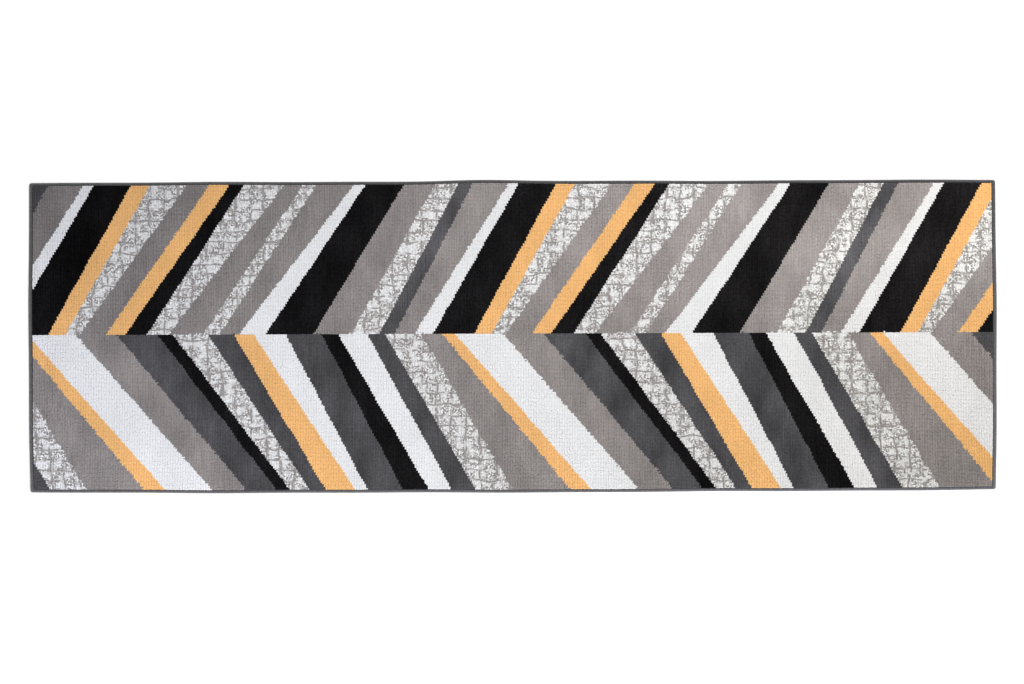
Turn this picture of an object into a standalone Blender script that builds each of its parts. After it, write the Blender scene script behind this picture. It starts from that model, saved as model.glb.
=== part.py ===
"""Runner rug: a low cut pile of slanting colour stripes in two bands, on a woven ground with a
latex coat, bound all round by one serged edge. Metres, +Z up, +X along the rug, origin under
the middle of the rug on the face that meets the floor."""

import math

import bmesh
import bpy
from mathutils import Vector
from mathutils.geometry import delaunay_2d_cdt

# Overall sizes
LENGTH = 2.500
WIDTH = 0.800

# Serged edge: yarn wrapped round the rim, a little wider across the two short ends
SERGE_SIDE = 0.0085
SERGE_END = 0.0110
SERGE_HEIGHT = 0.0060
SERGE_INNER_HEIGHT = 0.0052
SERGE_CORNER = 0.0060

# Shares of the serging's width, in from the rim: where its round outer side meets its flat top
# and underside, where the top starts to fall to the pile, and how far in the slot ends
ROUND_SHARE = 0.35
CROWN_SHARE = 0.70
SLOT_SHARE = 0.55

# Steps in the serging's round side and round each of the rug's corners
ROUND_STEPS = 6
CORNER_STEPS = 5

# Layers, from the floor up
LATEX = 0.0008
GROUND = 0.0016
PILE_FLOOR = 0.0008
PILE_TOP = 0.0090

# Clearance between neighbouring solids
GAP = 0.0003

# The seam between the two bands lies this far towards +Y of the middle
SEAM_OFFSET = 0.0080

# The drawing is made for the rug's own pile length, which holds this many repeats of each band
UPPER_REPEATS_ALONG = 2.2527
LOWER_REPEATS_ALONG = 2.2475

# One repeat of each band, from left to right: the yarn, and the stripe's width in millimetres
# of the drawing along the band's +Y edge and along its -Y edge
UPPER_REPEAT = (
    ("black", 96, 107),
    ("mustard", 49, 45),
    ("speckle", 96, 37),
    ("grey", 60, 68),
    ("mustard", 52, 50),
    ("black", 37, 58),
    ("speckle", 104, 56),
    ("grey", 49, 90),
    ("speckle", 34, 42),
    ("grey", 98, 50),
    ("ivory", 30, 69),
    ("black", 99, 124),
    ("grey", 81, 97),
    ("speckle", 61, 74),
    ("slate", 38, 40),
    ("grey", 93, 51),
    ("ivory", 26, 48),
)
LOWER_REPEAT = (
    ("black", 40, 36),
    ("speckle", 90, 50),
    ("slate", 66, 42),
    ("mustard", 52, 75),
    ("ivory", 83, 34),
    ("slate", 93, 90),
    ("black", 43, 67),
    ("ivory", 75, 60),
    ("slate", 45, 63),
    ("speckle", 93, 95),
    ("grey", 56, 149),
    ("mustard", 32, 54),
    ("ivory", 124, 123),
    ("grey", 105, 89),
    ("slate", 107, 77),
)

# Where the first black stripe of a repeat starts, as shares of a repeat from the pile's left
# end, along the band's +Y edge and along its -Y edge
UPPER_START = (0.1419, -0.0602)
LOWER_START = (0.2921, 0.5677)

# Yarn of the ground field. Every other stripe is inlaid in it
FIELD_YARN = "grey"

# Colour as linear red, green and blue, then roughness
FINISHES = {
    "black": ((0.0091, 0.0086, 0.0091), 0.92),
    "slate": ((0.0762, 0.0726, 0.0785), 0.92),
    "grey": ((0.2747, 0.2502, 0.2462), 0.92),
    "ivory": ((0.7682, 0.7682, 0.7758), 0.90),
    "speckle": ((0.5210, 0.5089, 0.5149), 0.92),
    "mustard": ((0.8069, 0.4678, 0.1878), 0.90),
    "serging": ((0.1070, 0.1070, 0.1144), 0.85),
    "jute": ((0.4452, 0.3467, 0.2159), 0.95),
    "latex": ((0.5711, 0.5395, 0.4564), 0.70),
}

SAME_POINT = 1e-7


def rug_values():
    """The sizes that follow from the driving dimensions."""
    pile_right = LENGTH / 2 - SERGE_END - GAP
    pile_top_edge = WIDTH / 2 - SERGE_SIDE - GAP
    ground_low = LATEX + GAP
    floor_low = ground_low + GROUND + GAP
    return {
        "right": pile_right,
        "left": -pile_right,
        "upper": pile_top_edge,
        "lower": -pile_top_edge,
        "ground_low": ground_low,
        "ground_high": ground_low + GROUND,
        "floor_low": floor_low,
        "floor_high": floor_low + PILE_FLOOR,
        "stripe_low": floor_low + PILE_FLOOR + GAP,
    }


RUG = rug_values()


def material(name):
    """The named finish, made once."""
    found = bpy.data.materials.get(name)
    if found:
        return found
    colour, roughness = FINISHES[name]
    made = bpy.data.materials.new(name)
    made.use_nodes = True
    shader = made.node_tree.nodes["Principled BSDF"]
    shader.inputs["Base Color"].default_value = (*colour, 1.0)
    shader.inputs["Roughness"].default_value = roughness
    shader.inputs["Metallic"].default_value = 0.0
    return made


def add_object(name, mesh_builder, finish):
    """Turns a finished bmesh into a named object with its material."""
    bmesh.ops.recalc_face_normals(mesh_builder, faces=mesh_builder.faces)
    mesh = bpy.data.meshes.new(name)
    mesh_builder.to_mesh(mesh)
    mesh_builder.free()
    mesh.materials.append(material(finish))
    made = bpy.data.objects.new(name, mesh)
    bpy.context.scene.collection.objects.link(made)
    return made


def raise_faces(builder, faces, height):
    """Extrudes the faces upwards. What stays behind is left open only where it borders other
    faces. Returns the raised faces."""
    edges = {edge for face in faces for edge in face.edges}
    verts = {vert for face in faces for vert in face.verts}
    keep = len(faces) == len(builder.faces)
    geometry = [*faces, *edges, *verts]
    made = bmesh.ops.extrude_face_region(builder, geom=geometry, use_keep_orig=keep)["geom"]
    lifted = [item for item in made if isinstance(item, bmesh.types.BMVert)]
    bmesh.ops.translate(builder, verts=lifted, vec=(0, 0, height))
    return [item for item in made if isinstance(item, bmesh.types.BMFace)]


def add_prism(name, outline, low, high, finish):
    """An upright solid of the outline, from low to high."""
    builder = bmesh.new()
    corners = [builder.verts.new((x, y, low)) for x, y in outline]
    raise_faces(builder, [builder.faces.new(corners)], high - low)
    return add_object(name, builder, finish)


def rectangle(right, upper):
    """A rectangle about the origin."""
    return [(-right, -upper), (right, -upper), (right, upper), (-right, upper)]


def clip_to_ends(outline):
    """Cuts the outline off at the two ends of the pile."""
    for end, side in ((RUG["left"], 1), (RUG["right"], -1)):
        kept = []
        for start, stop in zip(outline, outline[1:] + outline[:1]):
            start_in = (start[0] - end) * side >= 0
            stop_in = (stop[0] - end) * side >= 0
            if start_in:
                kept.append(start)
            if start_in != stop_in:
                share = (end - start[0]) / (stop[0] - start[0])
                kept.append((end, start[1] + (stop[1] - start[1]) * share))
        outline = kept
    return outline


def without_repeats(outline):
    """Drops points that lie on the one before."""
    kept = []
    for point in outline:
        before = kept[-1] if kept else outline[-1]
        if math.dist(point, before) > SAME_POINT:
            kept.append(point)
    return kept


class Stripe:
    """One colour area: its left and right sides at the band's +Y and -Y edges."""

    def __init__(self, yarn, left, right, high, low):
        self.yarn = yarn
        self.high = high
        self.low = low
        self.left = self.stand_back(left, 1)
        self.right = self.stand_back(right, -1)

    def stand_back(self, side, direction):
        """Moves a side in by half the gap, measured square to its own slant."""
        lean = math.atan2(side[1] - side[0], self.high - self.low)
        shift = direction * GAP / 2 / math.cos(lean)
        return (side[0] + shift, side[1] + shift)

    def outline(self):
        """The area's corners within the pile, anticlockwise."""
        corners = [
            (self.left[0], self.high),
            (self.left[1], self.low),
            (self.right[1], self.low),
            (self.right[0], self.high),
        ]
        return clip_to_ends(corners)

    def seam_reach(self, at_low_edge):
        """Where the area starts and ends along the seam, within the pile."""
        index = 1 if at_low_edge else 0
        return max(self.left[index], RUG["left"]), min(self.right[index], RUG["right"])


def side_positions(repeat, repeats_along, start, column):
    """Where each side of the repeated drawing crosses one edge of a band, from before the
    pile's left end to past its right end."""
    repeat_length = (RUG["right"] - RUG["left"]) / repeats_along
    scale = repeat_length / sum(row[column] for row in repeat)
    at = RUG["left"] + (start - 1) * repeat_length
    sides = [at]
    for row in repeat * (math.ceil(repeats_along) + 2):
        at += row[column] * scale
        sides.append(at)
    return sides


def band(repeat, repeats_along, starts, high, low):
    """Every stripe of a band that reaches into the pile, from left to right."""
    at_high = side_positions(repeat, repeats_along, starts[0], 1)
    at_low = side_positions(repeat, repeats_along, starts[1], 2)
    stripes = []
    for number, sides in enumerate(zip(at_high, at_high[1:], at_low, at_low[1:])):
        left = (sides[0], sides[2])
        right = (sides[1], sides[3])
        if min(left) < RUG["right"] and max(right) > RUG["left"]:
            yarn = repeat[number % len(repeat)][0]
            stripes.append(Stripe(yarn, left, right, high, low))
    return stripes


def starting_at(outline, place):
    """The same outline, listed from its corner at the given place."""
    first = min(range(len(outline)), key=lambda i: math.dist(outline[i], place))
    return outline[first:] + outline[:first]


def joined_outline(above, below, seam):
    """One outline round two areas of the same yarn that meet along the seam."""
    above_left, above_right = above.seam_reach(True)
    below_left, below_right = below.seam_reach(False)
    left = max(above_left, below_left)
    right = min(above_right, below_right)
    above_line = seam + GAP / 2
    below_line = seam - GAP / 2
    # Both outlines run anticlockwise, so each is opened where it leaves the seam
    outline = starting_at(above.outline(), (above_right, above_line))
    outline += [(left, above_line), (left, below_line)]
    outline += starting_at(below.outline(), (below_left, below_line))
    outline += [(right, below_line), (right, above_line)]
    return without_repeats(outline)


def touching_pairs(upper_band, lower_band):
    """The pairs of the same yarn that share a stretch of the seam."""
    pairs = []
    for above in upper_band:
        above_left, above_right = above.seam_reach(True)
        for below in lower_band:
            below_left, below_right = below.seam_reach(False)
            shared = min(above_right, below_right) - max(above_left, below_left)
            if above.yarn == below.yarn and shared > GAP:
                pairs.append((above, below))
    return pairs


def colour_areas():
    """Every colour area of the pile as (name, yarn, outline)."""
    seam = SEAM_OFFSET
    upper_edges = (RUG["upper"], seam + GAP / 2)
    lower_edges = (seam - GAP / 2, RUG["lower"])
    upper_band = band(UPPER_REPEAT, UPPER_REPEATS_ALONG, UPPER_START, *upper_edges)
    lower_band = band(LOWER_REPEAT, LOWER_REPEATS_ALONG, LOWER_START, *lower_edges)
    pairs = touching_pairs(upper_band, lower_band)
    joined = [stripe for pair in pairs for stripe in pair]
    areas = []
    for label, stripes in (("upper", upper_band), ("lower", lower_band)):
        for number, stripe in enumerate(stripes, 1):
            if stripe not in joined:
                name = f"pile_{label}_{number:02d}_{stripe.yarn}"
                areas.append((name, stripe.yarn, without_repeats(stripe.outline())))
    for above, below in pairs:
        numbers = f"{upper_band.index(above) + 1:02d}_{lower_band.index(below) + 1:02d}"
        name = f"pile_across_{numbers}_{above.yarn}"
        areas.append((name, above.yarn, joined_outline(above, below, seam)))
    return areas


def inside(point, outline):
    """Whether a point lies within an outline."""
    found = False
    for (ax, ay), (bx, by) in zip(outline, outline[1:] + outline[:1]):
        crosses = (ay > point.y) != (by > point.y)
        if crosses and point.x < ax + (bx - ax) * (point.y - ay) / (by - ay):
            found = not found
    return found


def build_field(areas):
    """The field yarn: a thin floor under the whole pile, which rises to the full height
    wherever the drawing shows this yarn."""
    ridges = [outline for name, yarn, outline in areas if yarn == FIELD_YARN]
    points = []
    edges = []
    for outline in [rectangle(RUG["right"], RUG["upper"])] + ridges:
        first = len(points)
        points += [Vector(point) for point in outline]
        edges += [(first + i, first + (i + 1) % len(outline)) for i in range(len(outline))]
    corners, _, faces, _, _, _ = delaunay_2d_cdt(points, edges, [], 0, SAME_POINT)
    builder = bmesh.new()
    verts = [builder.verts.new((point.x, point.y, RUG["floor_low"])) for point in corners]
    for face in faces:
        builder.faces.new([verts[i] for i in face])
    tops = raise_faces(builder, list(builder.faces), PILE_FLOOR)
    shown = [
        face
        for face in tops
        if any(inside(face.calc_center_median(), outline) for outline in ridges)
    ]
    raise_faces(builder, shown, PILE_TOP - RUG["floor_high"])
    add_object(f"pile_field_{FIELD_YARN}", builder, FIELD_YARN)


def serging_profile():
    """The wrapped edge's section as (share of its width in from the rim, height): a rounded
    roll with a slot in its inner side, where the ground weave's rim is held."""
    slot_low = RUG["ground_low"] - GAP
    slot_high = RUG["ground_high"] + GAP
    profile = [(1.0, 0.0)]
    for step in range(ROUND_STEPS + 1):
        turn = math.pi * step / ROUND_STEPS
        share = ROUND_SHARE * (1 - math.sin(turn))
        profile.append((share, SERGE_HEIGHT / 2 * (1 - math.cos(turn))))
    profile += [(CROWN_SHARE, SERGE_HEIGHT), (1.0, SERGE_INNER_HEIGHT)]
    profile += [(1.0, slot_high), (SLOT_SHARE, slot_high)]
    profile += [(SLOT_SHARE, slot_low), (1.0, slot_low)]
    return profile


def rounded_rectangle(inset_share, clearance=0.0):
    """Points round the rug at a share of the serging's width in from its rim."""
    right = LENGTH / 2 - SERGE_END * inset_share - clearance
    upper = WIDTH / 2 - SERGE_SIDE * inset_share - clearance
    radius = max(SERGE_CORNER * (1 - inset_share) - clearance, 0.0)
    points = []
    for quarter, (x_side, y_side) in enumerate(((1, 1), (-1, 1), (-1, -1), (1, -1))):
        for step in range(CORNER_STEPS + 1):
            turn = math.pi / 2 * (quarter + step / CORNER_STEPS)
            x = x_side * (right - radius) + radius * math.cos(turn)
            y = y_side * (upper - radius) + radius * math.sin(turn)
            points.append((x, y))
    return points


def build_serging():
    """The serged edge, one closed ring round the whole rug."""
    builder = bmesh.new()
    loops = []
    for share, height in serging_profile():
        ring = rounded_rectangle(share)
        loops.append([builder.verts.new((x, y, height)) for x, y in ring])
    for loop, following in zip(loops, loops[1:] + loops[:1]):
        for i in range(len(loop)):
            j = (i + 1) % len(loop)
            builder.faces.new((loop[i], loop[j], following[j], following[i]))
    bmesh.ops.remove_doubles(builder, verts=builder.verts, dist=SAME_POINT)
    add_object("serged_edge", builder, "serging")


def build_backing():
    """The ground weave, whose rim sits in the serging's slot, and the latex coat under it."""
    weave = without_repeats(rounded_rectangle(SLOT_SHARE, GAP))
    add_prism("ground_weave", weave, RUG["ground_low"], RUG["ground_high"], "jute")
    coat = rectangle(RUG["right"], RUG["upper"])
    add_prism("latex_coat", coat, 0.0, LATEX, "latex")


def build_rug():
    """The whole rug."""
    for found in list(bpy.data.objects):
        bpy.data.objects.remove(found, do_unlink=True)
    areas = colour_areas()
    build_field(areas)
    for name, yarn, outline in areas:
        if yarn != FIELD_YARN:
            add_prism(name, outline, RUG["stripe_low"], PILE_TOP, yarn)
    build_backing()
    build_serging()


build_rug()
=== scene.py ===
import math

import bmesh
import bpy
import numpy as np
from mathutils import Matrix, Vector, noise


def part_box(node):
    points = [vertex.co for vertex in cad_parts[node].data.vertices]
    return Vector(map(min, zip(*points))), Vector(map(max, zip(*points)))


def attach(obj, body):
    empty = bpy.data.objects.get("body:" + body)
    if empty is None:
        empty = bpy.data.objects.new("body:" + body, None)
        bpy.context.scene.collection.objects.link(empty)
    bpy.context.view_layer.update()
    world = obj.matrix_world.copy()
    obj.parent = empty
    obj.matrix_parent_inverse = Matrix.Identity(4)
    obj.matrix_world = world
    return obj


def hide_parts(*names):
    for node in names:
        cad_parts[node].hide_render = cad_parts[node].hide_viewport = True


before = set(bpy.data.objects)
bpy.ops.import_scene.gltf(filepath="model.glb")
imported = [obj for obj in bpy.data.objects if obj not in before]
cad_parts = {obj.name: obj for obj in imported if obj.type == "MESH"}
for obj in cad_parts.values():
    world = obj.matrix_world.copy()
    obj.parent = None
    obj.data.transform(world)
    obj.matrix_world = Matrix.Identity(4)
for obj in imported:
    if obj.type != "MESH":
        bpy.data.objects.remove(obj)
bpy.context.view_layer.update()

# How the rug lies: everything is made flat and then moved by settle(), so no two pieces part
lay = {
    "sideGrowth": 0.0006,    # how far the long sides stand out beyond the drawing, metres
    "farBow": 0.0006,        # more of it at mid length, on the +Y side
    "nearBow": 0.0036,       # and on the -Y side
    "endGrowth": -0.0014,
    "endBow": 0.0036,        # the short ends bow out at mid width
    "bulge": 0.0031,         # a stretched spot on the +Y side
    "bulgeAt": -0.096,
    "bulgeReach": 0.12,
    "sway": 0.0006,          # the long sides wander a little
    "fineSway": 0.0004,
    "endSway": 0.0005,       # and so do the short ones
    "lift": 0.0009,          # the rim doesn't lie dead flat
    "cornerLift": 0.0016,
    "crown": 0.0012,         # the pile rounds down at its rim
    "spill": 0.0005,         # and its outer tufts lean out over the serging
    "crownReach": 0.008,
    "crownFrom": 0.0065,     # only the tops of the tufts are above this height
    "crownFade": 0.0015,
}

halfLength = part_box("serged_edge")[1][0]
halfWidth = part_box("serged_edge")[1][1]
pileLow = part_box("pile_field_grey")[0]
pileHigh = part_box("pile_field_grey")[1]
nearlyTop = pileHigh[2] - 1e-5     # a corner above this is on top of the pile


def settle(places):
    # moves points, an array of x, y, z, from the flat drawing to where they lie
    x, y, z = places.T
    u = x / halfLength
    v = y / halfWidth
    along = np.clip(1 - u * u, 0, 1)
    across = np.clip(1 - v * v, 0, 1)
    bulge = lay["bulge"] * np.exp(-((x - lay["bulgeAt"]) / lay["bulgeReach"]) ** 2)
    sway = lay["sway"] * np.sin(7.3 * x + 0.8) + lay["fineSway"] * np.sin(17 * x + 2.1)
    far = np.clip(v, 0, 1) * (lay["farBow"] * along + bulge + sway)
    near = np.clip(-v, 0, 1) * (lay["nearBow"] * along + sway)
    newY = y + v * lay["sideGrowth"] + far - near
    newX = x + u * (lay["endGrowth"] + lay["endBow"] * across + lay["endSway"] * np.sin(19 * y))
    rim = np.clip(np.abs(v), 0, 1) ** 6
    wave = 0.5 + 0.5 * np.sin(5.1 * x + 2.4 * np.sign(v))
    corner = (np.abs(u) ** 14) * (np.abs(v) ** 5) * (0.6 + 0.4 * np.sin(3 * u + 2 * v))
    newZ = z + lay["lift"] * rim * wave + lay["cornerLift"] * corner
    tops = np.clip((z - lay["crownFrom"]) / lay["crownFade"], 0, 1)
    edgeX = np.clip(1 - (pileHigh[0] - np.abs(x)) / lay["crownReach"], 0, 1) ** 2 * tops
    edgeY = np.clip(1 - (pileHigh[1] - np.abs(y)) / lay["crownReach"], 0, 1) ** 2 * tops
    newZ -= lay["crown"] * np.maximum(edgeX, edgeY)
    newX += lay["spill"] * np.sign(x) * edgeX
    newY += lay["spill"] * np.sign(y) * edgeY
    return np.stack([newX, newY, newZ], 1)


def toLinear(hexColour):
    parts = [int(hexColour[i:i + 2], 16) / 255 for i in (1, 3, 5)]
    return [c / 12.92 if c <= 0.04045 else ((c + 0.055) / 1.055) ** 2.4 for c in parts] + [1.0]


def addNode(tree, kind, settings=None, inputs=None):
    # adds one node; an input given as a node or a socket is linked, anything else is its value
    node = tree.nodes.new(kind)
    for name, value in (settings or {}).items():
        setattr(node, name, value)
    for name, value in (inputs or {}).items():
        if isinstance(value, bpy.types.Node):
            value = value.outputs[0]
        if isinstance(value, bpy.types.NodeSocket):
            tree.links.new(value, node.inputs[name])
        else:
            node.inputs[name].default_value = value
    return node


def coordinatesOf(mesh):
    places = np.empty(len(mesh.vertices) * 3, np.float32)
    mesh.vertices.foreach_get("co", places)
    return places.reshape(-1, 3).astype(np.float64)


def setCoordinates(mesh, places):
    mesh.vertices.foreach_set("co", places.astype(np.float32).ravel())
    mesh.update()


def addObject(name, mesh, finish=None):
    made = bpy.data.objects.new(name, mesh)
    bpy.context.scene.collection.objects.link(made)
    if finish:
        mesh.materials.clear()
        mesh.materials.append(finish)
    return made


def asPlainMesh(source, name):
    # the evaluated result of a modifier stack as a mesh of its own
    graph = bpy.context.evaluated_depsgraph_get()
    mesh = bpy.data.meshes.new_from_object(source.evaluated_get(graph), depsgraph=graph)
    mesh.name = name
    return mesh


def setModifierInputs(modifier, values):
    for item in modifier.node_group.interface.items_tree:
        if item.item_type == "SOCKET" and item.in_out == "INPUT" and item.name in values:
            modifier[item.identifier] = values[item.name]


def mapFromAbove(mesh):
    # a plan view of the piece, so a pattern seen from above keeps its place
    places = coordinatesOf(mesh)[:, :2]
    low = places.min(0)
    span = np.maximum(np.ptp(places, axis=0), 1e-6)
    corners = np.empty(len(mesh.loops), np.int32)
    mesh.loops.foreach_get("vertex_index", corners)
    layer = mesh.uv_layers.new(name="OFBake")
    flat = 0.01 + 0.98 * (places - low) / span
    layer.uv.foreach_set("vector", flat[corners].astype(np.float32).ravel())


# The pile's yarns. shade: how much one tuft differs from the next; patch and rib: how strong the
# brushed patches and the ribs are; nap and lift: painted light, how much lighter the upper band
# runs towards +X and how much lighter that whole band is; fuzz: how much loose fibre stands up and
# catches the light
yarns = {
    "black": {"colour": "#171617", "shade": 0.25, "patch": 0.40, "rib": 0.20,
              "paintedBandLight": 0.50, "lift": 0.10, "fuzz": 0.0},
    "slate": {"colour": "#4b4a4d", "shade": 0.12, "patch": 0.38, "rib": 0.12,
              "paintedBandLight": 0.26, "lift": 0.20, "fuzz": 0.03},
    "grey": {"colour": "#8a8483", "shade": 0.08, "patch": 0.17, "rib": 0.10,
             "paintedBandLight": 0.30, "lift": 0.03, "fuzz": 0.05},
    "ivory": {"colour": "#dcdcde", "shade": 0.02, "patch": 0.04, "rib": 0.01,
              "paintedBandLight": 0.02, "lift": 0.0, "fuzz": 0.05},
    "speckle": {"colour": "#e0e0e1", "shade": 0.04, "patch": 0.05, "rib": 0.01,
                "paintedBandLight": 0.07, "lift": 0.05, "fuzz": 0.05},
    "mustard": {"colour": "#e2b275", "shade": 0.04, "patch": 0.07, "rib": 0.04,
                "paintedBandLight": 0.03, "lift": 0.0, "fuzz": 0.05},
}

# What all the yarns share; the numbers of patches and ribs are to a metre, along and across
dyeAndPaintedLight = {
    "patches": (12, 7, 0),
    "ribs": (230, 14, 0),              # 4.2 mm apart along the rug, like the rows of tufts
    "corners": 0.11,                   # painted light and shade: how much lighter or darker the pile is at the corners
    "cool": (0.985, 1.0, 1.04, 1.0),   # painted light: the colour drifts a little, from this cool tint towards -X
    "warm": (1.012, 1.0, 0.96, 1.0),   # to this towards +X
}

# The speckle's drawing; every size is in metres along the rug and across it
speckle = {
    "second": "#8b8684",               # the grey yarn of the crackle
    "step": (0.037, 0.028),            # from one strong line to the next
    "line": 0.17,                      # width of a strong line, as a share of a step
    "drift": 0.9,                      # how far a strong line wanders, in half steps
    "driftSize": (0.040, 0.040),
    "shake": 0.3,                      # and how far it shakes
    "shakeSize": (0.009, 0.009),
    "broken": 0.15,                    # how strong a line is where it breaks, and elsewhere
    "whole": 0.92,
    "breakSize": (0.020, 0.020),
    "squiggle": (0.0150, 0.0105),      # the fine crackle runs more along the rug than across it
    "fineLine": 0.040,                 # half its line's width, in the height of the noise it follows
    "fleck": (0.0050, 0.0050),         # grey dots
    "zone": (0.024, 0.024),            # patches where crackle and dots are closer
}


def flatPlaces(tree, scale):
    # object coordinates seen from above, so a colour doesn't change down the side of a tuft
    place = addNode(tree, "ShaderNodeTexCoord").outputs["Object"]
    return addNode(tree, "ShaderNodeMapping", None, {"Vector": place, "Scale": scale})


def layered(tree, layers):
    # multiplies the layers together; each has what drives it, the range of that which counts, and
    # the layer's strength at either end
    value = 1.0
    for source, fromLow, fromHigh, low, high in layers:
        ends = {"Value": source, "From Min": fromLow, "From Max": fromHigh, "To Min": low, "To Max": high}
        layer = addNode(tree, "ShaderNodeMapRange", None, ends)
        value = addNode(tree, "ShaderNodeMath", {"operation": "MULTIPLY"}, {0: value, 1: layer})
    return value


def startMaterial(name, roughness, specular, sheen):
    material = bpy.data.materials.new(name)
    material.use_nodes = True
    shader = material.node_tree.nodes["Principled BSDF"]
    shader.inputs["Roughness"].default_value = roughness
    shader.inputs["Specular IOR Level"].default_value = specular
    shader.inputs["Sheen Weight"].default_value = sheen
    shader.inputs["Sheen Roughness"].default_value = 0.6
    return material, material.node_tree, shader


def unevenField(tree, size, offset, detail=1.0):
    # soft patches of the given size, seen from above; output 0 is their height and 1 their colour
    scaled = flatPlaces(tree, (1 / size[0], 1 / size[1], 0))
    place = addNode(tree, "ShaderNodeVectorMath", {"operation": "ADD"}, {0: scaled, 1: offset})
    inputs = {"Vector": place, "Scale": 1.0, "Detail": detail}
    return addNode(tree, "ShaderNodeTexNoise", {"noise_dimensions": "2D"}, inputs)


def crackle(tree):
    # a hand-drawn net of lines along and across the rug, broken here and there, with a fine
    # crackle and dots between them; 1 on the grey yarn
    slow = unevenField(tree, speckle["driftSize"], (2.3, 7.1, 0), 0.0)
    quick = unevenField(tree, speckle["shakeSize"], (5.9, 0.4, 0))
    moved = flatPlaces(tree, (2 / speckle["step"][0], 2 / speckle["step"][1], 0))
    for field, amount in ((slow, speckle["drift"]), (quick, speckle["shake"])):
        inputs = {0: field.outputs[1], 1: (amount, amount, 0), 2: moved}
        moved = addNode(tree, "ShaderNodeVectorMath", {"operation": "MULTIPLY_ADD"}, inputs)
    split = addNode(tree, "ShaderNodeSeparateXYZ", None, {0: moved})
    wide, fine = speckle["line"], speckle["fineLine"]
    marks = []
    for axis in (0, 1):
        # 0 on a line and 1 midway between two
        inputs = {0: split.outputs[axis], 1: 1.0}
        fromLine = addNode(tree, "ShaderNodeMath", {"operation": "PINGPONG"}, inputs)
        breaks = unevenField(tree, speckle["breakSize"], (axis * 9.1, 3.3, 0))
        marks.append([(fromLine, wide * 0.5, wide * 1.5, 1.0, 0.0),
                      (breaks, 0.35, 0.49, speckle["broken"], speckle["whole"])])
    # the fine crackle follows the level lines of its patches
    field = unevenField(tree, speckle["squiggle"], (7.7, 1.3, 0))
    level = addNode(tree, "ShaderNodeMath", {"operation": "SUBTRACT"}, {0: field, 1: 0.5})
    fromLevel = addNode(tree, "ShaderNodeMath", {"operation": "ABSOLUTE"}, {0: level})
    zone = unevenField(tree, speckle["zone"], (1.1, 8.2, 0))
    flecks = unevenField(tree, speckle["fleck"], (4.2, 6.6, 0), 0.0)
    marks.append([(fromLevel, fine * 0.5, fine * 1.5, 1.0, 0.0), (zone, 0.36, 0.52, 0.3, 0.85)])
    marks.append([(flecks, 0.44, 0.62, 0.0, 1.0), (zone, 0.42, 0.54, 0.25, 1.0)])
    drawn = 0.0
    for mark in marks:
        inputs = {0: drawn, 1: layered(tree, mark)}
        drawn = addNode(tree, "ShaderNodeMath", {"operation": "MAXIMUM"}, inputs)
    return drawn


def pileYarn(name, look):
    # heat-set synthetic pile yarn, cut level: matt, a little fuzzy, and each tuft takes the light
    # a bit differently from the next, with broad brushed patches over it
    material, tree, shader = startMaterial(name + "PileYarn", 0.92, look["fuzz"] * 2, look["fuzz"])
    colour = toLinear(look["colour"])[:3]
    if name == "speckle":
        inputs = {0: crackle(tree), 6: (*colour, 1.0), 7: toLinear(speckle["second"])}
        colour = addNode(tree, "ShaderNodeMix", {"data_type": "RGBA"}, inputs).outputs[2]
    shade = addNode(tree, "ShaderNodeAttribute", {"attribute_name": "shade"}).outputs["Fac"]
    inputs = {"Vector": flatPlaces(tree, dyeAndPaintedLight["patches"]), "Scale": 1.0, "Detail": 5.0}
    patches = addNode(tree, "ShaderNodeTexNoise", None, inputs)
    inputs = {"Vector": flatPlaces(tree, dyeAndPaintedLight["ribs"]), "Scale": 1.0, "Detail": 1.0}
    ribs = addNode(tree, "ShaderNodeTexNoise", None, inputs)
    place = addNode(tree, "ShaderNodeTexCoord").outputs["Object"]
    split = addNode(tree, "ShaderNodeSeparateXYZ", None, {0: place})
    x, y = split.outputs[0], split.outputs[1]
    # painted light and shade: lighter at two opposite corners, darker at the others, and lighter
    # towards +X along the upper band
    paintedCornerLight = addNode(tree, "ShaderNodeMath", {"operation": "MULTIPLY"}, {0: x, 1: y})
    # painted light and sheen: the upper band runs lighter towards +X
    ends = {"Value": x, "From Min": -1.2, "From Max": 0.55,
            "To Min": look["lift"] - look["paintedBandLight"], "To Max": look["lift"] + look["paintedBandLight"]}
    lean = addNode(tree, "ShaderNodeMapRange", None, ends)
    band = addNode(tree, "ShaderNodeMapRange", None, {"Value": y, "From Min": -0.08, "From Max": 0.20})
    paintedBandLight = addNode(tree, "ShaderNodeMath", {"operation": "MULTIPLY"}, {0: band, 1: lean})
    value = layered(tree, [
        (shade, 0.0, 1.0, 1 - look["shade"], 1 + look["shade"]),
        (patches, 0.3, 0.7, 1 - look["patch"], 1 + look["patch"]),
        (ribs, 0.25, 0.75, 1 - look["rib"], 1 + look["rib"]),
        (paintedCornerLight, -0.42, 0.42, 1 - dyeAndPaintedLight["corners"], 1 + dyeAndPaintedLight["corners"]),
        (paintedBandLight, -1.0, 1.0, 0.0, 2.0)])
    # painted light: a cool tint towards -X and a warm one towards +X
    ends = {"Value": x, "From Min": -halfLength, "From Max": halfLength}
    paintedLightTint = addNode(tree, "ShaderNodeMapRange", None, ends)
    inputs = {0: paintedLightTint, 6: dyeAndPaintedLight["cool"], 7: dyeAndPaintedLight["warm"]}
    drift = addNode(tree, "ShaderNodeMix", {"data_type": "RGBA"}, inputs).outputs[2]
    toned = addNode(tree, "ShaderNodeVectorMath", {"operation": "MULTIPLY"}, {0: colour, 1: drift})
    tinted = addNode(tree, "ShaderNodeVectorMath", {"operation": "SCALE"}, {0: toned, "Scale": value})
    tree.links.new(tinted.outputs[0], shader.inputs["Base Color"])
    return material


pileMaterials = {name: pileYarn(name, look) for name, look in yarns.items()}
print("yarn materials made")


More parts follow.
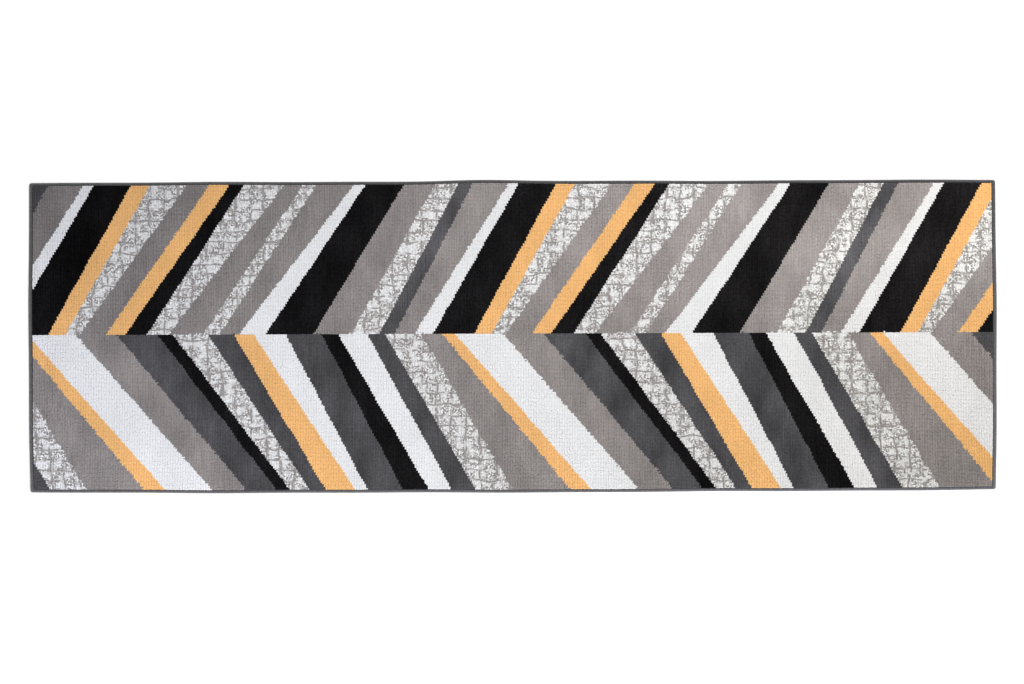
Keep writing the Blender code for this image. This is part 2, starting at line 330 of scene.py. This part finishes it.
# The pile: one tuft to each crossing of the loom's grid
pile = {
    "pitchX": 0.0042,      # rows across the rug, so the ribs are this far apart
    "pitchY": 0.0034,      # tufts along a row; drawn coarser than real ones, which would be too many
    "fillX": 0.985,        # share of a cell that a tuft covers at its root
    "fillY": 1.0,
    "tip": 0.60,           # from a tuft's middle to a corner of its top, in widths
    "rootTop": 0.0050,     # top of the matted roots
    "sunk": 0.0006,        # how deep in them a tuft starts
    "jitter": 0.00022,     # how far a tuft stands from its crossing
    "lean": 0.13,          # radians, as is the turn
    "turn": 0.32,
    "uneven": 0.07,        # one tuft's height against the next
    "wobble": 0.0011,      # the drawing's edges are a little wavy
    "wobbleSize": 0.045,
    "fineSize": 0.012,
    "ragged": 0.0030,      # and lumpy where speckle meets grey
    "raggedSize": 0.010,
    "grain": 0.0006,
    "furry": 0.0012,       # and soft where slate, ivory or mustard meets grey
    "margin": 0.0008,      # a wavy edge ends this far inside the pile's own outline
    "reach": 0.0002,       # a stripe takes in the tufts this far outside it, over the gaps
    "fieldParts": 3,       # the grey field is too many triangles for one piece
}


def loomGrid():
    columns = int((pileHigh[0] - pileLow[0]) / pile["pitchX"])
    rows = int((pileHigh[1] - pileLow[1]) / pile["pitchY"])
    x = pileLow[0] + (np.arange(columns) + 0.5) * (pileHigh[0] - pileLow[0]) / columns
    y = pileLow[1] + (np.arange(rows) + 0.5) * (pileHigh[1] - pileLow[1]) / rows
    return np.stack(np.meshgrid(x, y, indexing="ij"), -1).reshape(-1, 2)


def wavy(places, cell, amount, seed):
    # smooth, repeatable offsets of about the given amount
    found = [noise.noise(Vector((x / cell, y / cell, seed))) for x, y in places]
    return np.array(found) * amount * 2


def topTriangles(node):
    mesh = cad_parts[node].data
    mesh.calc_loop_triangles()
    places = coordinatesOf(mesh)
    corners = np.empty(len(mesh.loop_triangles) * 3, np.int32)
    mesh.loop_triangles.foreach_get("vertices", corners)
    triangles = places[corners.reshape(-1, 3)]
    top = triangles[:, :, 2].min(1) > nearlyTop
    return triangles[top][:, :, :2]


def insideTriangles(places, triangles, reach):
    found = np.zeros(len(places), bool)
    for a, b, c in triangles:
        low = np.minimum(np.minimum(a, b), c) - reach
        high = np.maximum(np.maximum(a, b), c) + reach
        near = np.flatnonzero(((places >= low) & (places <= high)).all(1) & ~found)
        turn = np.sign(np.cross(b - a, c - a))
        depth = np.full(len(near), np.inf)
        for start, stop in ((a, b), (b, c), (c, a)):
            side = stop - start
            offset = places[near] - start
            depth = np.minimum(depth, turn * np.cross(side, offset) / np.hypot(*side))
        found[near[depth > -reach]] = True
    return found


def stripeOf(places, outlines):
    # the number of the inlaid stripe that each place falls in, or -1 for the grey field
    low = np.array(pileLow[:2]) + pile["margin"]
    high = np.array(pileHigh[:2]) - pile["margin"]
    places = np.clip(places, low, high)
    found = np.full(len(places), -1)
    for number, triangles in enumerate(outlines):
        found[insideTriangles(places, triangles, pile["reach"]) & (found < 0)] = number
    return found


def yarnOf(node):
    return node.rsplit("_", 1)[1]


inlaid = sorted(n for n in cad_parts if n.startswith("pile_") and n != "pile_field_grey")
grid = loomGrid()
random = np.random.default_rng(7)


def assignTufts():
    # each offset moves the drawing along the rug, and by a share of it across
    outlines = [topTriangles(node) for node in inlaid]
    gentle = wavy(grid, pile["wobbleSize"], pile["wobble"], 3.1)
    gentle += wavy(grid, pile["fineSize"], pile["wobble"] * 0.5, 8.4)
    smooth = stripeOf(grid + gentle[:, None] * (1, 0.4), outlines)
    lumps = wavy(grid, pile["raggedSize"], pile["ragged"], 14.2)
    lumps += random.normal(0, pile["grain"], len(grid))
    rough = stripeOf(grid + lumps[:, None] * (1, 0.5), outlines)
    fur = random.normal(0, pile["furry"], len(grid))
    soft = stripeOf(grid + fur[:, None] * (1, 0.3), outlines)
    kinds = np.array([yarnOf(node) for node in inlaid] + ["grey"])
    smoothYarn = kinds[smooth]
    for other, neighbour in ((rough, "speckle"), (soft, "slate"), (soft, "ivory"), (soft, "mustard")):
        pair = ["grey", neighbour]
        otherYarn = kinds[other]
        swap = np.isin(smoothYarn, pair) & np.isin(otherYarn, pair) & (smoothYarn != otherYarn)
        smooth = np.where(swap, other, smooth)
    return smooth


stripes = assignTufts()
print("tufts on the loom:", len(grid), "of them in the grey field:", int((stripes < 0).sum()))


def tuftMesh():
    # one cut tuft, 1 wide and 1 high: a square root that turns into a diamond at the top
    builder = bmesh.new()
    root = [builder.verts.new((x / 2, y / 2, 0)) for x, y in ((1, 1), (-1, 1), (-1, -1), (1, -1))]
    out = pile["tip"]
    tip = [builder.verts.new(place) for place in ((out, 0, 1), (0, out, 1), (-out, 0, 1), (0, -out, 1))]
    for i in range(4):
        j = (i + 1) % 4
        builder.faces.new((root[i], tip[j], tip[i]))
        builder.faces.new((root[i], root[j], tip[j]))
    builder.faces.new(tip)
    builder.faces.new(root)
    bmesh.ops.recalc_face_normals(builder, faces=builder.faces)
    mesh = bpy.data.meshes.new("oneTuft")
    builder.to_mesh(mesh)
    builder.free()
    mesh.shade_smooth()
    return mesh


def startTree(name, sizes, others):
    # a node group from geometry to geometry, with its sizes and other inputs by name
    tree = bpy.data.node_groups.new(name, "GeometryNodeTree")
    tree.interface.new_socket("Geometry", in_out="INPUT", socket_type="NodeSocketGeometry")
    for label, value in sizes.items():
        tree.interface.new_socket(label, in_out="INPUT", socket_type="NodeSocketFloat").default_value = value
    for label, kind in others.items():
        tree.interface.new_socket(label, in_out="INPUT", socket_type=kind)
    tree.interface.new_socket("Geometry", in_out="OUTPUT", socket_type="NodeSocketGeometry")
    return tree, addNode(tree, "NodeGroupInput").outputs


def endTree(tree, instances, shade, finish):
    # marks each instance with its shade, makes them all one mesh and gives that its material
    kept = {"data_type": "FLOAT", "domain": "INSTANCE"}
    inputs = {"Geometry": instances, "Name": "shade", "Value": shade}
    marked = addNode(tree, "GeometryNodeStoreNamedAttribute", kept, inputs)
    solid = addNode(tree, "GeometryNodeRealizeInstances", None, {"Geometry": marked})
    worn = addNode(tree, "GeometryNodeSetMaterial", None, {"Geometry": solid, "Material": finish})
    addNode(tree, "NodeGroupOutput", None, {"Geometry": worn})


def tuftTree():
    # puts one tuft on each point, a little turned, leaning and uneven
    sizes = {"Width X": 0.0037, "Width Y": 0.0033, "Height": 0.0045, "Jitter": 0.0002,
             "Lean": 0.1, "Turn": 0.1, "Uneven": 0.05}
    others = {"Seed": "NodeSocketInt", "Tuft": "NodeSocketObject", "Material": "NodeSocketMaterial"}
    tree, given = startTree("yarnTufts", sizes, others)

    def spread(size, offset, x=1.0, y=1.0, z=1.0):
        # a random vector within size either way
        seed = addNode(tree, "ShaderNodeMath", {"operation": "ADD"}, {0: given["Seed"], 1: offset})
        inputs = {0: (-x, -y, -z), 1: (x, y, z), "Seed": seed}
        found = addNode(tree, "FunctionNodeRandomValue", {"data_type": "FLOAT_VECTOR"}, inputs)
        return addNode(tree, "ShaderNodeVectorMath", {"operation": "SCALE"}, {0: found, "Scale": size})

    widths = {0: given["Width X"], 1: given["Width Y"], 2: given["Height"]}
    size = addNode(tree, "ShaderNodeCombineXYZ", None, widths)
    shape = addNode(tree, "GeometryNodeObjectInfo", None, {"Object": given["Tuft"]}).outputs["Geometry"]
    tuft = addNode(tree, "GeometryNodeTransform", None, {"Geometry": shape, "Scale": size})
    inputs = {"Geometry": given["Geometry"], "Offset": spread(given["Jitter"], 11, z=0.0)}
    moved = addNode(tree, "GeometryNodeSetPosition", None, inputs)
    inputs = {0: spread(given["Lean"], 23, z=0.0), 1: spread(given["Turn"], 37, x=0.0, y=0.0)}
    rotation = addNode(tree, "ShaderNodeVectorMath", {"operation": "ADD"}, inputs)
    inputs = {0: spread(given["Uneven"], 41), 1: (1, 1, 1)}
    scale = addNode(tree, "ShaderNodeVectorMath", {"operation": "ADD"}, inputs)
    inputs = {"Points": moved, "Instance": tuft, "Rotation": rotation, "Scale": scale}
    placed = addNode(tree, "GeometryNodeInstanceOnPoints", None, inputs)
    seed = addNode(tree, "ShaderNodeMath", {"operation": "ADD"}, {0: given["Seed"], 1: 53})
    random = addNode(tree, "FunctionNodeRandomValue", {"data_type": "FLOAT"}, {"Seed": seed})
    endTree(tree, placed, random.outputs[1], given["Material"])
    return tree


tufts = tuftTree()
oneTuft = addObject("oneTuft", tuftMesh())


def rootMat(nodeMesh, part):
    # the matted roots: the stripe's own outline, down at the foot of the tufts
    builder = bmesh.new()
    builder.from_mesh(nodeMesh)
    bmesh.ops.remove_doubles(builder, verts=builder.verts, dist=1e-6)
    if part:
        for side, at in ((1, part[1]), (-1, part[0])):
            geometry = [*builder.verts, *builder.edges, *builder.faces]
            plane = {"plane_co": (at, 0, 0), "plane_no": (side, 0, 0), "clear_outer": True}
            cut = bmesh.ops.bisect_plane(builder, geom=geometry, **plane)
            edges = [e for e in cut["geom_cut"] if isinstance(e, bmesh.types.BMEdge)]
            if edges:
                bmesh.ops.holes_fill(builder, edges=edges)
    for vert in builder.verts:
        if vert.co.z > nearlyTop:
            vert.co.z = pile["rootTop"]
    bmesh.ops.recalc_face_normals(builder, faces=builder.faces)
    return builder


def makePile(name, node, places, seed, part=None):
    finish = pileMaterials[yarnOf(node)]
    foot = pile["rootTop"] - pile["sunk"]
    points = bpy.data.meshes.new(name + "Points")
    points.vertices.add(len(places))
    setCoordinates(points, np.column_stack([places, np.full(len(places), foot)]))
    source = addObject(name + "Points", points)
    modifier = source.modifiers.new("tufts", "NODES")
    modifier.node_group = tufts
    setModifierInputs(modifier, {
        "Width X": pile["pitchX"] * pile["fillX"], "Width Y": pile["pitchY"] * pile["fillY"],
        "Height": pileHigh[2] - foot, "Jitter": pile["jitter"], "Lean": pile["lean"],
        "Turn": pile["turn"], "Uneven": pile["uneven"],
        "Seed": seed, "Tuft": oneTuft, "Material": finish})
    mesh = asPlainMesh(source, name)
    bpy.data.objects.remove(source)
    builder = rootMat(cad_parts[node].data, part)
    roots = bpy.data.meshes.new(name + "Roots")
    builder.to_mesh(roots)
    builder.free()
    joined = bmesh.new()
    joined.from_mesh(mesh)
    joined.from_mesh(roots)
    joined.to_mesh(mesh)
    joined.free()
    setCoordinates(mesh, settle(coordinatesOf(mesh)))
    mesh.polygons.foreach_set("material_index", np.zeros(len(mesh.polygons), np.int32))
    mapFromAbove(mesh)
    piece = addObject(name, mesh, finish)
    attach(piece, "root")
    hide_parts(node)
    return piece


for number, node in enumerate(inlaid):
    name = node.replace("pile_", "tufts_")
    makePile(name, node, grid[stripes == number], 100 + number)
fieldEdges = np.linspace(pileLow[0], pileHigh[0], pile["fieldParts"] + 1)
fieldPlaces = grid[stripes < 0]
for number in range(pile["fieldParts"]):
    low, high = fieldEdges[number], fieldEdges[number + 1]
    chosen = fieldPlaces[(fieldPlaces[:, 0] >= low) & (fieldPlaces[:, 0] < high)]
    name = f"tufts_field_grey_{number + 1}"
    makePile(name, "pile_field_grey", chosen, 200 + number, (low, high))
bpy.data.objects.remove(oneTuft)


# The serged edge: yarn wrapped round the rim over a cord core
serging = {
    "pitch": 0.0025,        # from one wrap to the next
    "side": 0.0085,         # width across the long sides
    "end": 0.0110,          # and across the short ends
    "corner": 0.0060,
    "height": 0.0060,
    "innerTop": 0.0036,     # where the yarn dives in beside the pile
    "bulge": 0.0006,        # how far a wrap stands out
    "slant": 0.0011,        # a wrap leans along the rim from its inner to its outer side
    "uneven": 0.03,         # one wrap's height against the next
    "sideCuts": 60,         # straight runs are cut this often, to follow the bow of the sides
    "endCuts": 20,
    "colour": "#5c5b5e",
    "shade": 0.14,          # how much one wrap differs from the next
    "fibre": 0.12,          # and the fine lines of its fibres
    "fibreScale": 900.0,
    "paintedNearLight": 1.22,      # painted light and shade: how light the yarn is on the near side, and on the far one
    "paintedFarShade": 0.78,
    "paintedInnerShade": 0.64,     # painted shade beside the pile, where it dives in, and painted light out at the rim
    "paintedRimLight": 1.32,
}


def sergingYarn():
    # spun overlock yarn, tightly wrapped and a little fuzzy
    material, tree, shader = startMaterial("sergingYarn", 0.85, 0.2, 0.1)
    shade = addNode(tree, "ShaderNodeAttribute", {"attribute_name": "shade"}).outputs["Fac"]
    depth = addNode(tree, "ShaderNodeAttribute", {"attribute_name": "across"}).outputs["Fac"]
    place = addNode(tree, "ShaderNodeTexCoord").outputs["Object"]
    inputs = {"Vector": place, "Scale": serging["fibreScale"], "Detail": 2.0}
    fuzz = addNode(tree, "ShaderNodeTexNoise", None, inputs)
    across = addNode(tree, "ShaderNodeSeparateXYZ", None, {0: place}).outputs[1]
    # painted light and shade: the yarn is lighter on the near side and darker on the far side
    value = layered(tree, [
        (shade, 0.0, 1.0, 1 - serging["shade"], 1 + serging["shade"]),
        (fuzz, 0.3, 0.7, 1 - serging["fibre"], 1 + serging["fibre"]),
        # painted shade beside the pile and painted light out at the rim
        (depth, 0.0, 1.0, serging["paintedInnerShade"], serging["paintedRimLight"]),
        (across, -halfWidth, halfWidth, serging["paintedNearLight"], serging["paintedFarShade"])])
    inputs = {0: toLinear(serging["colour"])[:3], "Scale": value}
    tinted = addNode(tree, "ShaderNodeVectorMath", {"operation": "SCALE"}, inputs)
    tree.links.new(tinted.outputs[0], shader.inputs["Base Color"])
    rough = layered(tree, [(fuzz, 0.3, 0.7, 0.78, 0.94)])
    tree.links.new(rough.outputs[0], shader.inputs["Roughness"])
    bump = addNode(tree, "ShaderNodeBump", None, {"Height": fuzz, "Strength": 0.3, "Distance": 0.0003})
    tree.links.new(bump.outputs[0], shader.inputs["Normal"])
    return material


def wrapOutline():
    # one wrap in section, from beside the pile over the top, round the rim and back underneath
    width = serging["side"]
    low = serging["bulge"]
    high = serging["height"] - serging["bulge"]
    points = [(width * 0.98, serging["innerTop"]), (width * 0.78, high * 0.92)]
    for step in range(5):
        turn = math.pi / 2 - math.pi * step / 4
        inwards = width * 0.40 * (1 - math.cos(turn)) + low
        upwards = low + (high - low) * (0.5 + 0.5 * math.sin(turn))
        points.append((inwards, upwards))
    points.append((width * 0.97, low))
    return [Vector(point) for point in points]


def wrapMesh():
    # one wrap about its place on the rim: x along the rim, y inwards at width 1, z up
    builder = bmesh.new()
    path = wrapOutline()
    half = serging["pitch"] * 0.5
    bulge = serging["bulge"]
    rings = []
    for number, point in enumerate(path):
        run = (path[min(number + 1, len(path) - 1)] - path[max(number - 1, 0)]).normalized()
        out = Vector((run.y, -run.x))
        along = serging["slant"] * (0.5 - number / (len(path) - 1))
        ring = []
        for side, push in ((-half, 0.0), (0.0, bulge), (half, 0.0), (0.0, -bulge * 0.5)):
            place = point + out * push
            ring.append(builder.verts.new((along + side, place.x / serging["side"], place.y)))
        rings.append(ring)
    for ring, following in zip(rings, rings[1:]):
        for i in range(4):
            j = (i + 1) % 4
            builder.faces.new((ring[i], ring[j], following[j], following[i]))
    builder.faces.new(rings[0])
    builder.faces.new(list(reversed(rings[-1])))
    bmesh.ops.recalc_face_normals(builder, faces=builder.faces)
    mesh = bpy.data.meshes.new("oneWrap")
    builder.to_mesh(mesh)
    builder.free()
    mesh.shade_smooth()
    across = mesh.attributes.new("across", "FLOAT", "POINT")     # 0 beside the pile and 1 at the rim
    across.data.foreach_set("value", [1 - vert.co.y for vert in mesh.vertices])
    return mesh


def straightRun(start, stop, cuts):
    # the places between two ends, without the ends
    (x, y), (endX, endY) = start, stop
    return [(x + (endX - x) * i / cuts, y + (endY - y) * i / cuts) for i in range(1, cuts)]


def rimOutline(share):
    # the rug's outline with its corners as arcs, moved in by a share of the serging's width
    x = halfLength - share * serging["end"]
    y = halfWidth - share * serging["side"]
    radius = max(serging["corner"] - share * serging["side"], 0.0004)

    def onCorner(sideX, sideY, turn):
        middle = (sideX * (x - radius), sideY * (y - radius))
        return (middle[0] + radius * math.cos(turn), middle[1] + radius * math.sin(turn))

    points = []
    for quarter, (sideX, sideY) in enumerate(((1, 1), (-1, 1), (-1, -1), (1, -1))):
        if points:
            cuts = serging["sideCuts"] if quarter % 2 else serging["endCuts"]
            points += straightRun(points[-1], onCorner(sideX, sideY, math.pi / 2 * quarter), cuts)
        for step in range(9):
            points.append(onCorner(sideX, sideY, math.pi / 2 * (quarter + step / 8)))
    return points + straightRun(points[-1], points[0], serging["endCuts"])


def rimCurve():
    points = rimOutline(0.0)
    curve = bpy.data.curves.new("rim", "CURVE")
    curve.dimensions = "3D"
    spline = curve.splines.new("POLY")
    spline.points.add(len(points) - 1)
    for point, (x, y) in zip(spline.points, points):
        point.co = (x, y, 0, 1)
    spline.use_cyclic_u = True
    return addObject("rim", curve)


def coreMesh():
    # the cord and stitching inside the wraps, with the slot that the ground weave's rim sits in,
    # in section: the share of the serging's width in from the rim, and the height
    top = [(0.97, 0.0030), (0.97, 0.0033), (0.76, 0.0046), (0.34, 0.0049)]
    outside = [(0.20, 0.0042), (0.13, 0.0030), (0.20, 0.0017), (0.34, 0.0008)]
    slot = [(0.95, 0.0006), (0.95, 0.0009), (0.55, 0.0009), (0.55, 0.0030)]
    profile = top + outside + slot
    loops = [[(x, y, height) for x, y in rimOutline(share)] for share, height in profile]
    count = len(loops[0])
    places = np.array([place for loop in loops for place in loop])
    faces = []
    for i in range(len(loops)):
        following = (i + 1) % len(loops)
        for j in range(count):
            k = (j + 1) % count
            faces.append((i * count + j, i * count + k, following * count + k, following * count + j))
    mesh = bpy.data.meshes.new("serging_core")
    mesh.from_pydata(settle(places).tolist(), [], faces)
    builder = bmesh.new()
    builder.from_mesh(mesh)
    bmesh.ops.recalc_face_normals(builder, faces=builder.faces)
    builder.to_mesh(mesh)
    builder.free()
    return mesh


def wrapTree():
    # wraps yarn round a closed rim, one wrap to each pitch, square to the rim
    sizes = {"Pitch": 0.0025, "Side Width": 0.0085, "End Width": 0.011, "Uneven": 0.03}
    others = {"Wrap": "NodeSocketObject", "Material": "NodeSocketMaterial"}
    tree, given = startTree("sergingWraps", sizes, others)
    inputs = {"Curve": given["Geometry"], "Length": given["Pitch"]}
    curve = addNode(tree, "GeometryNodeResampleCurve", {"mode": "LENGTH"}, inputs)
    tangent = addNode(tree, "GeometryNodeInputTangent")
    turn = addNode(tree, "FunctionNodeAlignRotationToVector", {"axis": "X"}, {"Vector": tangent})
    split = addNode(tree, "ShaderNodeSeparateXYZ", None, {0: tangent})
    lengthwise = addNode(tree, "ShaderNodeMath", {"operation": "ABSOLUTE"}, {0: split})
    widths = {0: lengthwise, 2: given["End Width"], 3: given["Side Width"]}
    width = addNode(tree, "ShaderNodeMix", None, widths)
    lowest = addNode(tree, "ShaderNodeMath", {"operation": "SUBTRACT"}, {0: 1.0, 1: given["Uneven"]})
    highest = addNode(tree, "ShaderNodeMath", {"operation": "ADD"}, {0: 1.0, 1: given["Uneven"]})
    inputs = {2: lowest, 3: highest, "Seed": 5}
    height = addNode(tree, "FunctionNodeRandomValue", {"data_type": "FLOAT"}, inputs).outputs[1]
    scale = addNode(tree, "ShaderNodeCombineXYZ", None, {0: 1.0, 1: width, 2: height})
    wrap = addNode(tree, "GeometryNodeObjectInfo", None, {"Object": given["Wrap"]}).outputs["Geometry"]
    inputs = {"Points": curve, "Instance": wrap, "Rotation": turn, "Scale": scale}
    placed = addNode(tree, "GeometryNodeInstanceOnPoints", None, inputs)
    shade = addNode(tree, "FunctionNodeRandomValue", {"data_type": "FLOAT"}, {"Seed": 9}).outputs[1]
    endTree(tree, placed, shade, given["Material"])
    return tree


def makeSerging():
    finish = sergingYarn()
    wrap = addObject("oneWrap", wrapMesh())
    rim = rimCurve()
    modifier = rim.modifiers.new("wraps", "NODES")
    modifier.node_group = wrapTree()
    setModifierInputs(modifier, {
        "Pitch": serging["pitch"], "Side Width": serging["side"], "End Width": serging["end"],
        "Uneven": serging["uneven"], "Wrap": wrap, "Material": finish})
    mesh = asPlainMesh(rim, "serging_wraps")
    count = len(mesh.polygons) // len(wrap.data.polygons)
    bpy.data.objects.remove(rim)
    bpy.data.objects.remove(wrap)
    setCoordinates(mesh, settle(coordinatesOf(mesh)))
    mapFromAbove(mesh)
    wraps = addObject("serging_wraps", mesh, finish)
    # the core has no across attribute, so it is painted all over with the shade beside the pile
    cord = addObject("serging_core", coreMesh(), finish)
    for piece in (wraps, cord):
        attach(piece, "root")
        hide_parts("serged_edge")
    print("serging made:", len(mesh.polygons), "faces in", count, "wraps")
    return [wraps, cord]


sergingPieces = makeSerging()


# The backing: the ground weave and its latex coat
backing = {
    "ribPitch": 0.0042,     # the weave's ribs match the pile's rows
    "stepY": 0.100,         # cuts along a rib, to follow the rug as it lies
    "weaveRelief": 0.00018,
    "latexRelief": 0.00022,
    "jute": "#b49a74",
    "latex": "#c9c2b2",
}


def clothMaterial(name, hexColour, roughness, pitch, strength):
    # the yarns cross at the pitch; a plain weave's over and under shows as a low checker
    material, tree, shader = startMaterial(name, roughness, 0.2, 0.0)
    place = flatPlaces(tree, (math.pi / pitch, math.pi / pitch, 0))
    split = addNode(tree, "ShaderNodeSeparateXYZ", None, {0: place})
    waves = [addNode(tree, "ShaderNodeMath", {"operation": "SINE"}, {0: split.outputs[i]}) for i in (0, 1)]
    weave = addNode(tree, "ShaderNodeMath", {"operation": "MULTIPLY"}, {0: waves[0], 1: waves[1]})
    inputs = {"Vector": flatPlaces(tree, (40, 260, 0)), "Scale": 1.0, "Detail": 3.0}
    slub = addNode(tree, "ShaderNodeTexNoise", None, inputs)     # thick and thin places in the yarns
    # the checker is painted darker where the bump dips: painted shade in the weave's hollows
    value = layered(tree, [(weave, -1.0, 1.0, 0.86, 1.08), (slub, 0.3, 0.7, 0.85, 1.12)])
    inputs = {0: toLinear(hexColour)[:3], "Scale": value}
    tinted = addNode(tree, "ShaderNodeVectorMath", {"operation": "SCALE"}, inputs)
    tree.links.new(tinted.outputs[0], shader.inputs["Base Color"])
    rough = layered(tree, [(slub, 0.3, 0.7, roughness - 0.08, roughness + 0.04)])
    tree.links.new(rough.outputs[0], shader.inputs["Roughness"])
    bump = addNode(tree, "ShaderNodeBump", None, {"Height": weave, "Strength": strength, "Distance": 0.0004})
    tree.links.new(bump.outputs[0], shader.inputs["Normal"])
    return material


def ribbedSlab(name, node, relief, ribTop, ribBottom):
    # a thin slab the size of its CAD solid, with ribs across the rug on the faces asked for
    low, high = (np.array(corner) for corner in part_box(node))
    ribs = int((high[0] - low[0]) / backing["ribPitch"])
    columns = ribs * 2 + 1
    rows = int((high[1] - low[1]) / backing["stepY"]) + 1
    x = np.linspace(low[0], high[0], columns)
    y = np.linspace(low[1], high[1], rows)
    crest = (np.arange(columns) % 2)[:, None] * np.ones(rows)
    gridX, gridY = np.meshgrid(x, y, indexing="ij")
    top = np.stack([gridX, gridY, high[2] - relief * ribTop * (1 - crest)], -1)
    bottom = np.stack([gridX, gridY, low[2] + relief * ribBottom * (1 - crest)], -1)
    places = np.concatenate([top.reshape(-1, 3), bottom.reshape(-1, 3)])
    count = columns * rows

    def at(i, j, layer):
        return layer * count + i * rows + j

    faces = []
    for i in range(columns - 1):
        for j in range(rows - 1):
            faces.append((at(i, j, 0), at(i + 1, j, 0), at(i + 1, j + 1, 0), at(i, j + 1, 0)))
            faces.append((at(i, j, 1), at(i, j + 1, 1), at(i + 1, j + 1, 1), at(i + 1, j, 1)))
    for i in range(columns - 1):
        faces.append((at(i, 0, 0), at(i, 0, 1), at(i + 1, 0, 1), at(i + 1, 0, 0)))
        j = rows - 1
        faces.append((at(i, j, 0), at(i + 1, j, 0), at(i + 1, j, 1), at(i, j, 1)))
    for j in range(rows - 1):
        faces.append((at(0, j, 0), at(0, j + 1, 0), at(0, j + 1, 1), at(0, j, 1)))
        i = columns - 1
        faces.append((at(i, j, 0), at(i, j, 1), at(i, j + 1, 1), at(i, j + 1, 0)))
    mesh = bpy.data.meshes.new(name)
    mesh.from_pydata(settle(places).tolist(), [], faces)
    mesh.update()
    mapFromAbove(mesh)
    return mesh


jute = clothMaterial("juteGroundWeave", backing["jute"], 0.95, backing["ribPitch"], 0.6)
latex = clothMaterial("latexBackCoat", backing["latex"], 0.75, backing["ribPitch"], 0.35)
slab = ribbedSlab("ground_weave_cloth", "ground_weave", backing["weaveRelief"], 1, 1)
weave = addObject("ground_weave_cloth", slab, jute)
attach(weave, "root")
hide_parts("ground_weave")
slab = ribbedSlab("latex_back", "latex_coat", backing["latexRelief"], 0, 1)
coat = addObject("latex_back", slab, latex)
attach(coat, "root")
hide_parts("latex_coat")
print("backing made")


# The floor, the lights and the camera
studio = {
    "floor": "#fafafa",
    "viewWidth": 2.646,      # metres across the picture
    "lens": 100.0,
    "sensor": 36.0,
    "aim": (-0.0018, -0.0150),
    "roll": math.radians(-0.19),
    "world": 0.66,
    # where each light hangs, its width and its watts; both aim at the middle of the rug
    "lights": {"overhead": ((0.3, 0.3, 3.2), 3.0, 78), "lowNearRight": ((2.0, -3.6, 2.0), 0.8, 85)},
}


def makeFloor():
    bpy.ops.mesh.primitive_plane_add(size=30, location=(0, 0, 0))
    floor = bpy.context.object
    floor.name = "floor"
    material, tree, shader = startMaterial("paleFloor", 0.9, 0.1, 0.0)
    shader.inputs["Base Color"].default_value = toLinear(studio["floor"])
    floor.data.materials.append(material)


def makeLight(name, place, size, watts):
    data = bpy.data.lights.new(name, "AREA")
    data.shape = "DISK"
    data.size = size
    data.energy = watts
    light = bpy.data.objects.new(name, data)
    light.location = place
    light.rotation_euler = (-Vector(place)).to_track_quat("-Z", "Y").to_euler()
    bpy.context.scene.collection.objects.link(light)


def makeCamera():
    data = bpy.data.cameras.new("camera")
    data.lens = studio["lens"]
    data.sensor_width = studio["sensor"]
    data.clip_end = 60
    distance = studio["viewWidth"] * studio["lens"] / studio["sensor"]
    camera = bpy.data.objects.new("camera", data)
    camera.location = (*studio["aim"], distance + pileHigh[2])
    camera.rotation_euler = (0, 0, studio["roll"])
    bpy.context.scene.collection.objects.link(camera)
    bpy.context.scene.camera = camera


makeFloor()
for name, settings in studio["lights"].items():
    makeLight(name, *settings)
world = bpy.data.worlds.new("studio")
world.use_nodes = True
world.node_tree.nodes["Background"].inputs[0].default_value = (1, 1, 1, 1)
world.node_tree.nodes["Background"].inputs[1].default_value = studio["world"]
bpy.context.scene.world = world
bpy.context.scene.view_settings.view_transform = "Standard"
makeCamera()
